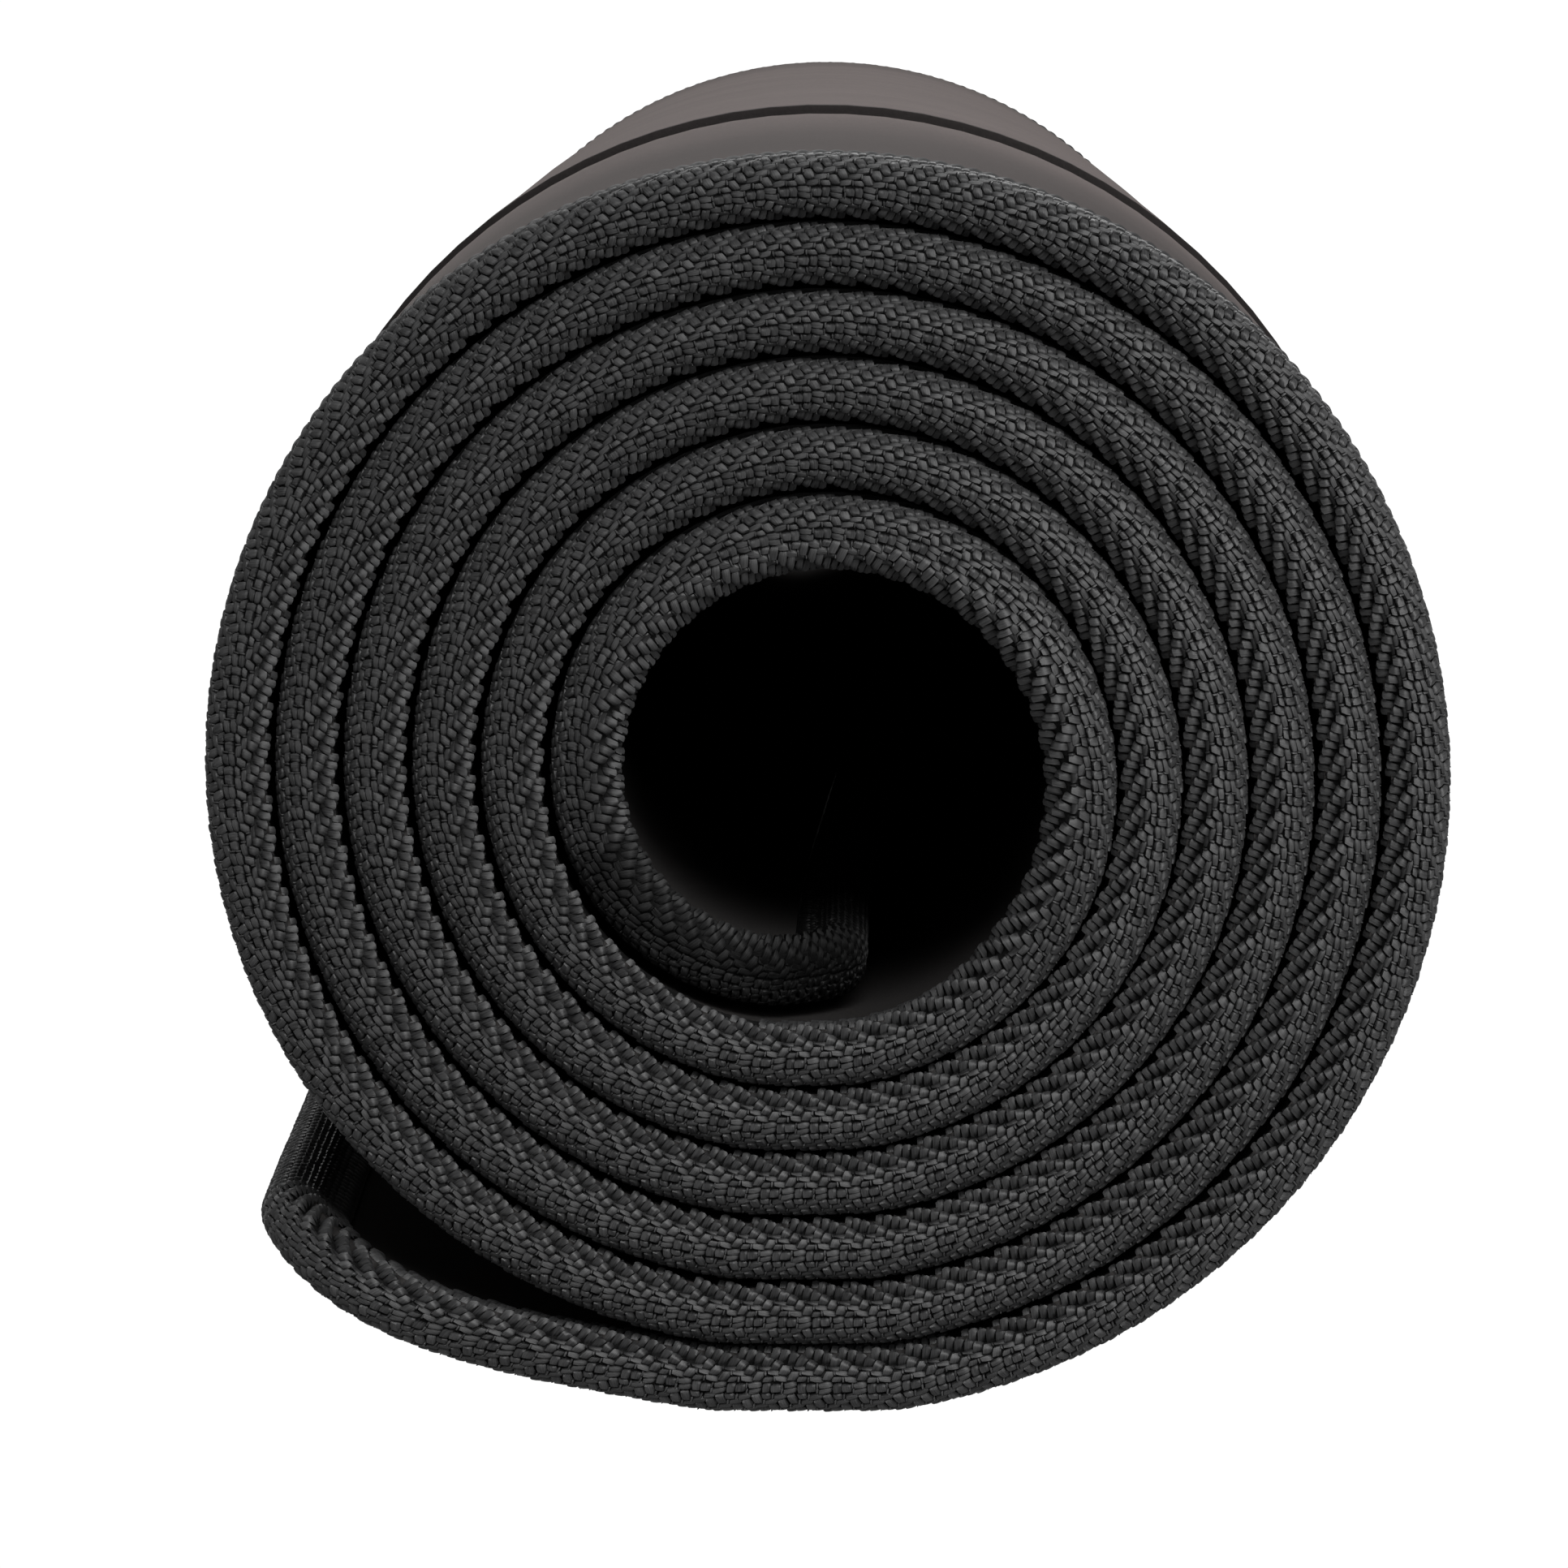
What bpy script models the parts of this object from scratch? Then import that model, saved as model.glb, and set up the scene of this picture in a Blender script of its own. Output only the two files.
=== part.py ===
"""A desk mat rolled up for storage, with its overlocked edge.

The mat is modelled flat, the way it is cut and sewn, and every point is then wrapped onto a spiral.
Flat coordinates are along (from the outer end), across (front edge to rear edge) and height
(from the middle of the sheet towards the rubber side, which is the outside of the roll).
The roll lies along Y with its front end at -Y. +Z is up, and the floor is at Z = 0.
"""

import math

import bmesh
import bpy

# The mat as it is sold, flat.
MAT_LENGTH = 0.900
MAT_WIDTH = 0.400
CORNER_RADIUS = 0.010

# Thicknesses through the laminate, from the cloth side to the rubber side.
CLOTH_THICKNESS = 0.00050
FILM_THICKNESS = 0.00010
RUBBER_THICKNESS = 0.00216
BOND_GAP = 0.00002

# The overlock seam, measured in from the mat's edge.
SEAM_WIDTH = 0.0042
SEAM_LAYER = 0.00025
SEAM_CLEARANCE = 0.00012
SEAM_CORE = 0.0013
CROWN_HALF = 0.0009
CROWN_DEPTH = 0.0010
LOOPER_HALF_GAP = 0.00002
NEEDLE_THREAD_WIDTH = 0.0006
NEEDLE_THREAD_GAP = 0.00006

# The roll. Turn angles are counted from the outer end, anticlockwise and inwards.
OUTER_TURN_RADIUS = 0.03460
TURN_PITCH = 0.00369
OUTER_END_ANGLE = math.radians(222)
OUTER_END_LIFT = 0.00367
INNER_END_LIFT = 0.0006
INNER_LIFT_ANGLE = math.radians(90)

# Facets.
FACET_ANGLE = math.radians(15)
CORNER_STEPS = 6
FLAP_STEPS = 4
HINGE_HALF_GAP = 0.0002

SHEET_THICKNESS = CLOTH_THICKNESS + FILM_THICKNESS + RUBBER_THICKNESS + 2 * BOND_GAP
SHEET_HALF = SHEET_THICKNESS / 2
SEAM_HALF = SHEET_HALF + SEAM_CLEARANCE + SEAM_LAYER
SHEET_INSET = SEAM_CORE + SEAM_CLEARANCE
PITCH_PER_RADIAN = TURN_PITCH / (2 * math.pi)

# The lowest facet is level: its middle is where the spiral's height has its minimum.
DOWN_TURN = math.radians(270) - OUTER_END_ANGLE
DOWN_RADIUS = OUTER_TURN_RADIUS - PITCH_PER_RADIAN * DOWN_TURN + SEAM_HALF
BOTTOM_TURN = DOWN_TURN - math.asin(PITCH_PER_RADIAN / DOWN_RADIUS)
FIRST_TURN = BOTTOM_TURN - FACET_ANGLE / 2

# The free outer end flexes about a line just short of the lowest facet.
HINGE_TURN = FIRST_TURN - HINGE_HALF_GAP / OUTER_TURN_RADIUS


def smooth_step(share):
    share = min(max(share, 0.0), 1.0)
    return share * share * (3 - 2 * share)


def length_to(turn):
    """Length of mat from the outer end to this turn angle, along the middle of the sheet."""
    return OUTER_TURN_RADIUS * turn - PITCH_PER_RADIAN * turn * turn / 2


def turn_at(along):
    """The turn angle at this length from the outer end."""
    root = math.sqrt(OUTER_TURN_RADIUS**2 - 2 * PITCH_PER_RADIAN * along)
    return (OUTER_TURN_RADIUS - root) / PITCH_PER_RADIAN


INNER_END_TURN = turn_at(MAT_LENGTH)


def turn_radius(turn):
    """Distance of the sheet's middle from the roll's axis. The outer end stands off the roll."""
    outer_lift = OUTER_END_LIFT * smooth_step(1 - turn / HINGE_TURN)
    inner_lift = INNER_END_LIFT * smooth_step(1 - (INNER_END_TURN - turn) / INNER_LIFT_ANGLE)
    return OUTER_TURN_RADIUS - PITCH_PER_RADIAN * turn + outer_lift - inner_lift


def rolled(along, across, height):
    """The place of a flat point once the mat is rolled, with the roll's axis through the origin."""
    turn = turn_at(along)
    angle = OUTER_END_ANGLE + turn
    radius = turn_radius(turn) + height
    return (radius * math.cos(angle), across, radius * math.sin(angle))


def roll_height():
    """Height of the roll's axis over the floor, from the lowest facet of the seam's outer face."""
    facet_ends = [rolled(length_to(FIRST_TURN + step), 0, SEAM_HALF) for step in (0, FACET_ANGLE)]
    return -min(point[2] for point in facet_ends)


def roll_shift():
    """How far the axis stands from the middle of the roll's width, which is at X = 0."""
    turns = [FIRST_TURN + step * FACET_ANGLE for step in range(int(2 * math.pi / FACET_ANGLE) + 1)]
    across = [rolled(length_to(turn), 0, SEAM_HALF)[0] for turn in turns]
    return -(min(across) + max(across)) / 2


AXIS_X = roll_shift()
AXIS_Z = roll_height()


def main_stations():
    """Lengths along the mat of the roll's facet lines, from the hinge line to the inner corner."""
    corner_turn = turn_at(MAT_LENGTH - CORNER_RADIUS)
    stations = []
    turn = FIRST_TURN
    while turn < corner_turn - FACET_ANGLE / 4:
        stations.append(length_to(turn))
        turn += FACET_ANGLE
    return stations


def flap_stations():
    """The same for the free outer end, from the hinge line to its corner."""
    start = length_to(HINGE_TURN) - HINGE_HALF_GAP
    step = (start - CORNER_RADIUS) / FLAP_STEPS
    return [start - step * index for index in range(FLAP_STEPS)]


def corner_angles():
    quarter = math.pi / 2
    return [quarter * index / CORNER_STEPS for index in range(CORNER_STEPS + 1)]


def edge_path(stations, end, towards):
    """The mat's edge as (along, across, inward along, inward across).

    It runs down the front edge, round the two corners of one end and back up the rear edge.
    `end` is the end's length along the mat, and `towards` is +1 where the mat lies beyond it.
    """
    half = MAT_WIDTH / 2
    path = [(along, -half, 0, 1) for along in stations]
    for angle in corner_angles():
        along = end + towards * CORNER_RADIUS * (1 - math.sin(angle))
        across = -half + CORNER_RADIUS * (1 - math.cos(angle))
        path.append((along, across, towards * math.sin(angle), math.cos(angle)))
    mirrored = [(along, -across, inward, -sideways) for along, across, inward, sideways in path]
    return path + mirrored[::-1]


def loft(name, rings, material):
    """A closed body through equal rings of points, capped at both ends."""
    shape = bmesh.new()
    made = [[shape.verts.new(point) for point in ring] for ring in rings]
    count = len(made[0])
    for ring, following in zip(made, made[1:]):
        for index in range(count):
            after = (index + 1) % count
            shape.faces.new((ring[index], ring[after], following[after], following[index]))
    shape.faces.new(made[0][::-1])
    shape.faces.new(made[-1])
    bmesh.ops.triangulate(shape, faces=shape.faces[:])
    bmesh.ops.recalc_face_normals(shape, faces=shape.faces[:])
    mesh = bpy.data.meshes.new(name)
    shape.to_mesh(mesh)
    shape.free()
    mesh.materials.append(material)
    piece = bpy.data.objects.new(name, mesh)
    piece.location = (AXIS_X, 0, AXIS_Z)
    return piece


def seam_piece(name, stations, end, towards, section, material):
    """A thread run of the seam: its section is swept along the edge, then rolled."""
    rings = []
    for along, across, inward, sideways in edge_path(stations, end, towards):
        ring = [(along + inward * depth, across + sideways * depth, height) for depth, height in section]
        rings.append([rolled(*point) for point in ring])
    return loft(name, rings, material)


def sheet_piece(name, stations, end, towards, low, high, material):
    """One layer of the laminate, between two heights, with the end's two corners rounded."""
    edge = -MAT_WIDTH / 2 + SHEET_INSET
    radius = CORNER_RADIUS - SHEET_INSET
    outline = [(along, edge) for along in stations]
    for angle in corner_angles():
        along = end + towards * (CORNER_RADIUS - radius * math.sin(angle))
        outline.append((along, edge + radius * (1 - math.cos(angle))))
    rings = []
    for along, across in outline:
        ring = [(along, across, low), (along, across, high), (along, -across, high), (along, -across, low)]
        rings.append([rolled(*point) for point in ring])
    return loft(name, rings, material)


def looper_section(side):
    """Section of a looper thread run as (depth from the edge, height), on one side of the sheet."""
    outer = SEAM_HALF
    inner = SHEET_HALF + SEAM_CLEARANCE
    points = [
        (0, LOOPER_HALF_GAP),
        (0, CROWN_HALF),
        (CROWN_DEPTH, outer),
        (SEAM_WIDTH, outer),
        (SEAM_WIDTH, inner),
        (SEAM_CORE, inner),
        (SEAM_CORE, LOOPER_HALF_GAP),
    ]
    return [(depth, side * height) for depth, height in points]


def needle_section():
    """Section of the needle thread, which lies on the rubber just inside the loopers."""
    low = SHEET_HALF + NEEDLE_THREAD_GAP
    near = SEAM_WIDTH + NEEDLE_THREAD_GAP
    far = near + NEEDLE_THREAD_WIDTH
    return [(near, low), (near, SEAM_HALF), (far, SEAM_HALF), (far, low)]


def plain_material(name, colour, roughness):
    material = bpy.data.materials.new(name)
    material.use_nodes = True
    shader = material.node_tree.nodes["Principled BSDF"]
    shader.inputs["Base Color"].default_value = (*colour, 1)
    shader.inputs["Roughness"].default_value = roughness
    material.diffuse_color = (*colour, 1)
    return material


def build_stretch(prefix, stations, end, towards, materials):
    """All six layers and threads of one stretch of the mat."""
    cloth_top = -SHEET_HALF + CLOTH_THICKNESS
    film_low = cloth_top + BOND_GAP
    film_top = film_low + FILM_THICKNESS
    rubber_low = film_top + BOND_GAP
    layers = {
        "cloth_face": (-SHEET_HALF, cloth_top, "cloth"),
        "bond_film": (film_low, film_top, "film"),
        "rubber_base": (rubber_low, SHEET_HALF, "rubber"),
    }
    threads = {
        "upper_looper_thread": looper_section(1),
        "lower_looper_thread": looper_section(-1),
        "needle_thread": needle_section(),
    }
    pieces = []
    for name, (low, high, slot) in layers.items():
        pieces.append(sheet_piece(prefix + name, stations, end, towards, low, high, materials[slot]))
    for name, section in threads.items():
        pieces.append(seam_piece(prefix + name, stations, end, towards, section, materials["thread"]))
    return pieces


def clear_scene():
    for existing in list(bpy.data.objects):
        bpy.data.objects.remove(existing)


def main():
    clear_scene()
    materials = {
        "cloth": plain_material("cloth", (0.020, 0.020, 0.021), 0.9),
        "film": plain_material("film", (0.10, 0.10, 0.10), 0.5),
        "rubber": plain_material("rubber", (0.045, 0.043, 0.042), 0.7),
        "thread": plain_material("thread", (0.035, 0.035, 0.036), 0.6),
    }
    collection = bpy.data.collections.new("rolled_desk_mat")
    bpy.context.scene.collection.children.link(collection)
    pieces = build_stretch("roll_", main_stations(), MAT_LENGTH, -1, materials)
    pieces += build_stretch("outer_end_", flap_stations(), 0, 1, materials)
    for piece in pieces:
        collection.objects.link(piece)


main()
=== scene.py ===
"""Looks of the rolled desk mat: the layers of its sheet and its overlocked, woven-looking edge.

The mat is described flat and then rolled, as in the CAD. Flat coordinates are along (from the
outer end), across (front edge to rear edge) and height (from the middle of the sheet towards the
rubber side, the outside of the roll). The seam adds two more: travel, the distance round the mat's
edge, and girth, the distance over the edge from its crown, positive towards the rubber side.
"""

import math

import bpy
import numpy as np
from mathutils import Matrix, Vector


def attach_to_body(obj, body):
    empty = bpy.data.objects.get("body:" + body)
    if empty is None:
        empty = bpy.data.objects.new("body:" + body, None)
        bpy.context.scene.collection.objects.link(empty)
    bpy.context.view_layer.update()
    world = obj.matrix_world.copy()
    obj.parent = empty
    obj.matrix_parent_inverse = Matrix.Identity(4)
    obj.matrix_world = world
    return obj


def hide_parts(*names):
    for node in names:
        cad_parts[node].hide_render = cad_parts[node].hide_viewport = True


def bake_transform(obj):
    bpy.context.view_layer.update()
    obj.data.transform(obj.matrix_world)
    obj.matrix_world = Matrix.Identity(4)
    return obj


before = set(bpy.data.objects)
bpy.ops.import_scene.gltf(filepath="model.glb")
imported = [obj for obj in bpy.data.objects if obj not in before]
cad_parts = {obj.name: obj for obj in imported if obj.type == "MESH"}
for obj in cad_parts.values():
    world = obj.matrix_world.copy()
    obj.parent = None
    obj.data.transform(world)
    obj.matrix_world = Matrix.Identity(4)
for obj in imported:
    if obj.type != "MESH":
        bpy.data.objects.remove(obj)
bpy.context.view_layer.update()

MM = 0.001

# The mat and the roll, as in the CAD apart from the inner end's lift.
MAT_LENGTH = 0.900
MAT_WIDTH = 0.400
CORNER_RADIUS = 0.010
CLOTH_THICKNESS = 0.00050
FILM_THICKNESS = 0.00010
BOND_GAP = 0.00002
SHEET_HALF = 0.00140
SEAM_HALF = 0.00177
SHEET_INSET = 0.00142
OUTER_TURN_RADIUS = 0.03460
TURN_PITCH = 0.00369
OUTER_END_ANGLE = math.radians(222)
OUTER_END_LIFT = 0.00367
HINGE_TURN = math.radians(39.23)
INNER_END_LIFT = 0.0003
INNER_LIFT_ANGLE = math.radians(90)
PITCH_PER_RADIAN = TURN_PITCH / (2 * math.pi)

# The roll's axis. It stands 0.15 mm higher than the CAD's, whose lowest facet is flat.
AXIS_X = -0.0009125
AXIS_Z = 0.0357261

# The roll isn't quite straight: it swells towards the middle, with a crease, and narrows behind.
SWELL_PLACES = (-0.200, -0.160, -0.1155, -0.1149, -0.1143, 0.000, 0.188, 0.200)
SWELL_RADII = (0.0, 0.00036, 0.00068, 0.00052, 0.00094, 0.00084, 0.00062, 0.00015)
CREASE_NEAR, CREASE_FAR = SWELL_PLACES[2], SWELL_PLACES[4]
SWELL_SIDEWAYS = 0.35

# How finely the sheet's layers are divided: round the roll, along it, and along it at the crease.
TURN_STEP = math.radians(4)
ACROSS_STEP = 0.012
CREASE_STEP = 0.00015

# The roll sags a little under its own weight, and its inner turns slip down and to the right.
SAG = 0.009
SLIP_X = 0.00040
SLIP_Z = -0.00034
FLOOR_REACH = 0.8
FLOOR_CLEARANCE = 0.0002
FLOOR_SOFTNESS = 0.00004

# The inner end sits back from the roll's front. At the rear the roll is wound further round, and
# the inner end lifts. The outer end reaches a little further than the CAD's.
INNER_RECESS = 0.006
INNER_RECESS_ANGLE = math.radians(110)
REAR_ADVANCE = 0.0225
REAR_LIFT = 0.0032
REAR_LIFT_ANGLE = math.radians(150)
OUTER_REACH = 0.0020
OUTER_REACH_LENGTH = 0.050

# The outer end bends away from the roll, and its pieces stop at this turn.
SPLIT_TURN = math.radians(60)

# The seam's section, as distances from the middle of its rounded edge: the edge itself, the
# thread bed, and the floats' low edges and tops.
NOSE_RADIUS = 0.00176
BED_RADIUS = 0.00150
FLOAT_EDGE = 0.00154
FLOAT_TOP = 0.00175
CROSS_TOP = 0.00178

# How far the seam reaches over the edge from its crown, and how much of that shows between turns.
# All of it shows on the free side of the turns within this angle of either end.
SEAM_GIRTH = 0.00515
HIDDEN_GIRTH = 0.0029
BARE_TURNS = math.radians(385)

# The woven edge: a herringbone twill of rows along the rim, mirrored about the crown.
ROW = 0.000365
REPEAT_GUESS = 0.00181
ROWS_PER_SIDE = 14
BED_STEPS = 8
BED_COLUMNS = 15

# A row's floats in each repeat: where the middle of each lies, and half its length.
SLIVER_AT, SLIVER_HALF = -0.05 * MM, 0.06 * MM
RIM_AT, RIM_HALF = 0.34 * MM, 0.36 * MM
CROSS_AT, CROSS_HALF = 0.98 * MM, 0.27 * MM
# The floats across the rim are painted lighter: a painted sheen.
CROSS_PAINTED_SHEEN = 1.1

# The needle thread's chain, just inside the seam: two strands that swing round each other.
CHAIN_GAP = 0.00045
CHAIN_HEIGHT = 0.00019
CHAIN_SWING = 0.00014
STRAND_RADIUS = 0.00015

# The twill's diagonals stand up as ribs with deep furrows between them, most on the cloth side.
# The furrows start at some girth, reach their full depth over a distance, and end near the hem.
CLOTH_FURROW, CLOTH_FURROW_START = 0.00055, 0.0006
RUBBER_FURROW, RUBBER_FURROW_START = 0.00010, 0.0012
FURROW_GROWTH = 0.0017
FURROW_END = 0.0046
FURROW_PHASE = 0.30

# The seam puffs out where no other turn presses on it: outside the roll and in its bore.
FREE_BULGE = 0.00012
BORE_BULGE = 0.00070
BULGE_WIDEST = 0.0018
BULGE_END = 0.0050

# The weave's crown drifts from the middle of the edge: by a fixed distance, with height and with
# width, twice round each turn, and in a slow wave along the seam.
CROWN_DRIFT = 0.00035
CROWN_DRIFT_HEIGHT = -0.00036
CROWN_DRIFT_WIDTH = 0.000085
CROWN_DRIFT_TWICE = 0.00034
CROWN_WAVE = 0.00008
CROWN_WAVE_LENGTH = 0.017

# Camera, measured in the photograph's own frame of 1932 pixels.
FRAME_PIXELS = 1932
FOCAL_PIXELS = 14790
FRONT_DISTANCE = 0.662
AXIS_OFFSET = (33, 14)
AXIS_DIRECTION = (64, 1050)

# Light: how white the surroundings look, and what light they give.
BACKDROP = 1.05
AMBIENT = 0.42

# The soft boxes: where each stands, what it is aimed at, its diameter and its power in watts.
SOFT_BOXES = (
    ("key", (0.25, -1.05, 0.80), (0, -0.2, 0.035), 0.7, 16),
    ("fill", (0.60, -1.10, 0.35), (0, -0.2, 0.035), 0.7, 6),
    ("overhead", (0, 0.75, 1.1), (0, 0, 0.035), 1.2, 14),
)

random = np.random.default_rng(20)


# ---- The flat mat and how it is rolled ----

def smooth_step(share):
    share = np.clip(share, 0, 1)
    return share * share * (3 - 2 * share)


def length_to(turn):
    return OUTER_TURN_RADIUS * turn - PITCH_PER_RADIAN * turn * turn / 2


def turn_at(along):
    root = np.sqrt(OUTER_TURN_RADIUS**2 - 2 * PITCH_PER_RADIAN * np.asarray(along, float))
    return (OUTER_TURN_RADIUS - root) / PITCH_PER_RADIAN


INNER_END_TURN = float(turn_at(MAT_LENGTH))


def turn_radius(turn):
    outer_lift = OUTER_END_LIFT * smooth_step(1 - turn / HINGE_TURN) ** 1.3
    inner_lift = INNER_END_LIFT * smooth_step(1 - (INNER_END_TURN - turn) / INNER_LIFT_ANGLE)
    return OUTER_TURN_RADIUS - PITCH_PER_RADIAN * turn + outer_lift - inner_lift


def swell_at(across):
    """How much larger the roll is at this place along its length."""
    swell = np.full(np.shape(across), SWELL_RADII[0])
    for index in range(len(SWELL_PLACES) - 1):
        start, end = SWELL_PLACES[index:index + 2]
        rise = SWELL_RADII[index + 1] - SWELL_RADII[index]
        swell = swell + rise * smooth_step((across - start) / (end - start))
    return swell


def floor_push(turn, angle):
    """How far the floor presses the lowest layers up, less for each turn further in."""
    first = turn_radius(np.mod(angle - OUTER_END_ANGLE, 2 * math.pi)) + SEAM_HALF + FLOOR_CLEARANCE
    below = -(AXIS_Z + first * np.sin(angle))
    pushed = FLOOR_SOFTNESS * np.log1p(np.exp(np.clip(below / FLOOR_SOFTNESS, -30, 30)))
    return pushed * FLOOR_REACH ** (turn / (2 * math.pi))


def rolled(along, across, height):
    """The place of flat points once the mat is rolled."""
    along = along - OUTER_REACH * smooth_step(1 - along / OUTER_REACH_LENGTH)
    turn = turn_at(along)
    rear = smooth_step(across / MAT_WIDTH + 0.5)
    loose = smooth_step(1 - (INNER_END_TURN - turn) / REAR_LIFT_ANGLE)
    angle = OUTER_END_ANGLE + turn * (1 + REAR_ADVANCE * rear)
    swell = swell_at(across)
    radius = turn_radius(turn) + swell + height - REAR_LIFT * rear * loose
    recess = INNER_RECESS * smooth_step(1 - (INNER_END_TURN - turn) / INNER_RECESS_ANGLE)
    up = AXIS_Z + swell + floor_push(turn, angle) + radius * np.sin(angle)
    deep = (turn / INNER_END_TURN) ** 2
    wide = (1 + SAG) * (radius - (1 - SWELL_SIDEWAYS) * swell)
    return np.stack([AXIS_X + SLIP_X * deep + wide * np.cos(angle), across + recess,
                     up + SLIP_Z * deep], -1)


# ---- The mat's edge ----

LEG_LENGTHS = [MAT_LENGTH - 2 * CORNER_RADIUS, math.pi / 2 * CORNER_RADIUS,
               MAT_WIDTH - 2 * CORNER_RADIUS, math.pi / 2 * CORNER_RADIUS] * 2
LEG_STARTS = np.concatenate([[0], np.cumsum(LEG_LENGTHS)])
LOOP = float(LEG_STARTS[-1])
NEAR, FAR = CORNER_RADIUS, MAT_LENGTH - CORNER_RADIUS
SIDE = MAT_WIDTH / 2
REPEAT = LOOP / round(LOOP / REPEAT_GUESS)
PICK = REPEAT / 4

# Where each leg starts if it is straight, or the corner's centre.
LEG_POINTS = np.array([
    (NEAR, -SIDE), (FAR, NEAR - SIDE), (MAT_LENGTH, NEAR - SIDE), (FAR, SIDE - NEAR),
    (FAR, SIDE), (NEAR, SIDE - NEAR), (0, SIDE - NEAR), (NEAR, NEAR - SIDE),
])


def edge_place(travel):
    """(along, across, inward along, inward across) at a distance round the mat's edge."""
    travel = np.mod(travel, LOOP)
    leg = np.clip(np.searchsorted(LEG_STARTS, travel, side="right") - 1, 0, 7)
    run = travel - LEG_STARTS[leg]
    bend = leg % 2 == 1
    heading = (leg // 2) * math.pi / 2 + np.where(bend, run / CORNER_RADIUS, 0)
    ahead = np.where(bend, CORNER_RADIUS * np.sin(heading), run * np.cos(heading))
    aside = np.where(bend, -CORNER_RADIUS * np.cos(heading), run * np.sin(heading))
    along = LEG_POINTS[leg, 0] + ahead
    across = LEG_POINTS[leg, 1] + aside
    return along, across, -np.sin(heading), np.cos(heading)


def furrow_depth(travel, girth):
    """How deep the surface lies between the twill's ribs."""
    size = np.abs(girth)
    phase = (travel + (size / ROW - 0.5) * PICK) / REPEAT + FURROW_PHASE
    wave = (0.5 - 0.5 * np.cos(2 * math.pi * phase)) ** 1.5
    start = np.where(girth < 0, CLOTH_FURROW_START, RUBBER_FURROW_START)
    deepest = np.where(girth < 0, CLOTH_FURROW, RUBBER_FURROW)
    grown = smooth_step((size - start) / FURROW_GROWTH)
    return deepest * grown * smooth_step((FURROW_END - size) / MM) * wave


def bulge(girth, along):
    """How far the seam puffs out on its free side: the first turn's outside or the last's inside."""
    size = np.abs(girth)
    turn = turn_at(np.clip(along, 0, MAT_LENGTH))
    outside = smooth_step((math.radians(365) - turn) / math.radians(20)) * (girth > 0)
    inside = smooth_step((turn - INNER_END_TURN + 2 * math.pi) / math.radians(40)) * (girth < 0)
    puff = smooth_step(size / BULGE_WIDEST) * smooth_step((BULGE_END - size) / (2.4 * MM))
    return (FREE_BULGE * outside + BORE_BULGE * inside) * puff


def on_seam(travel, girth, radius):
    """A point over the edge: half a circle that runs on into two flat sides, with the relief."""
    along, across, inward_along, inward_across = edge_place(travel)
    woven = girth - crown_drift(travel, along)
    relief = bulge(woven, along) - furrow_depth(travel, woven)
    radius = radius + relief * (radius > SHEET_HALF)
    quarter = NOSE_RADIUS * math.pi / 2
    angle = np.clip(girth, -quarter, quarter) / NOSE_RADIUS
    depth = NOSE_RADIUS - radius * np.cos(angle) + np.maximum(np.abs(girth) - quarter, 0)
    height = radius * np.sin(angle)
    return rolled(along + inward_along * depth, across + inward_across * depth, height)


def crown_drift(travel, along):
    """How far the crown of the weave lies from the middle of the edge."""
    angle = OUTER_END_ANGLE + turn_at(np.clip(along, 0, MAT_LENGTH))
    once = CROWN_DRIFT_HEIGHT * np.sin(angle) + CROWN_DRIFT_WIDTH * np.cos(angle)
    wave = CROWN_WAVE * np.sin(travel / CROWN_WAVE_LENGTH)
    return CROWN_DRIFT + once + CROWN_DRIFT_TWICE * np.cos(2 * angle) + wave


# ---- Meshes ----

def mesh_piece(name, points, quads, materials, slots=None, yarn=None, shade=None):
    """A smooth-shaded piece from arrays of points and quads."""
    mesh = bpy.data.meshes.new(name)
    mesh.vertices.add(len(points))
    mesh.vertices.foreach_set("co", np.asarray(points, np.float32).ravel())
    mesh.loops.add(quads.size)
    mesh.loops.foreach_set("vertex_index", quads.astype(np.int32).ravel())
    mesh.polygons.add(len(quads))
    mesh.polygons.foreach_set("loop_start", np.arange(0, quads.size, 4, dtype=np.int32))
    mesh.update(calc_edges=True)
    for material in materials:
        mesh.materials.append(material)
    if slots is not None:
        mesh.polygons.foreach_set("material_index", slots.astype(np.int32))
    if yarn is not None:
        layer = mesh.uv_layers.new(name="yarn")
        layer.data.foreach_set("uv", yarn[quads.ravel()].astype(np.float32).ravel())
    if shade is not None:
        attribute = mesh.attributes.new("shade", "FLOAT", "POINT")
        attribute.data.foreach_set("value", shade.astype(np.float32))
    mesh.shade_smooth()
    mesh.set_sharp_from_angle(angle=math.radians(55))
    piece = bpy.data.objects.new(name, mesh)
    bpy.context.scene.collection.objects.link(piece)
    return piece


def grid_quads(rows, columns, closed=False):
    """Quads of a grid of points, closed round its columns if asked."""
    index = np.arange(rows * columns).reshape(rows, columns)
    if closed:
        index = np.concatenate([index, index[:, :1]], axis=1)
    corners = (index[:-1, :-1], index[:-1, 1:], index[1:, 1:], index[1:, :-1])
    return np.stack(corners, -1).reshape(-1, 4)


def repeated_quads(quads, size, count):
    """The same quads for each of several groups of points."""
    return (quads[None] + size * np.arange(count)[:, None, None]).reshape(-1, 4)


class Pile:
    """Collects arrays of points and quads that become one piece."""

    def __init__(self):
        self.parts = []
        self.count = 0

    def add(self, points, quads, slot, yarn, shade):
        slots = np.full(len(quads), slot)
        self.parts.append((points, quads + self.count, slots, yarn, shade))
        self.count += len(points)

    def make(self, name, materials):
        points, quads, slots, yarn, shade = (np.concatenate(column) for column in zip(*self.parts))
        return mesh_piece(name, points, quads, materials, slots, yarn, shade)


# ---- Sheet layers ----

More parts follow.
